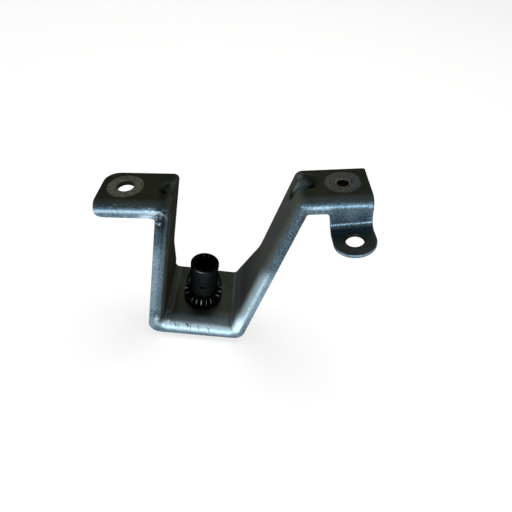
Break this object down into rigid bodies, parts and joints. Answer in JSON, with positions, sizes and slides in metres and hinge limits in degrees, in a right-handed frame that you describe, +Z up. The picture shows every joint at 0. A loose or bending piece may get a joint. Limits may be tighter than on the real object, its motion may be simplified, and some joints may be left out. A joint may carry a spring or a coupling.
{
  "type": "fender bracket",
  "caption": "U-shaped pressed steel bracket with two raised pads, a front flange, a drop tab and a threaded moulded height adjuster in its base.",
  "frame": {"origin": "on the adjuster's axis, at the top face of the base", "axes": "+Z up along the adjuster's axis, +X from the left pad to the right pad, +Y to the open back edge"},
  "size_m": [0.1097, 0.0577, 0.0995],
  "materials": {
    "zinc_steel": "dark blue-grey zinc, fine spangle",
    "nut_steel": "plain steel, lightly rusted",
    "black_moulding": "satin black moulding"
  },
  "bodies": {
    "bracket_body": {"bracket": "zinc_steel", "weld_nut": "nut_steel", "clip_nut": "black_moulding"},
    "ring_body": {"knurled_ring": "black_moulding"},
    "sleeve_body": {"adjuster_sleeve": "black_moulding"}
  },
  "joints": [
    {"name": "ring_turn", "type": "hinge", "parent": "bracket_body", "child": "ring_body", "pos_m": [0, 0, 0], "axis": [0, 0, 1], "range_deg": [-90, 450]},
    {"name": "sleeve_lift", "type": "slide", "parent": "ring_body", "child": "sleeve_body", "axis": [0, 0, 1], "range_m": [-0.001, 0.005]}
  ],
  "couplings": [
    {"joint": "sleeve_lift", "follows": "ring_turn", "m_per_rad": 0.0006366}
  ]
}
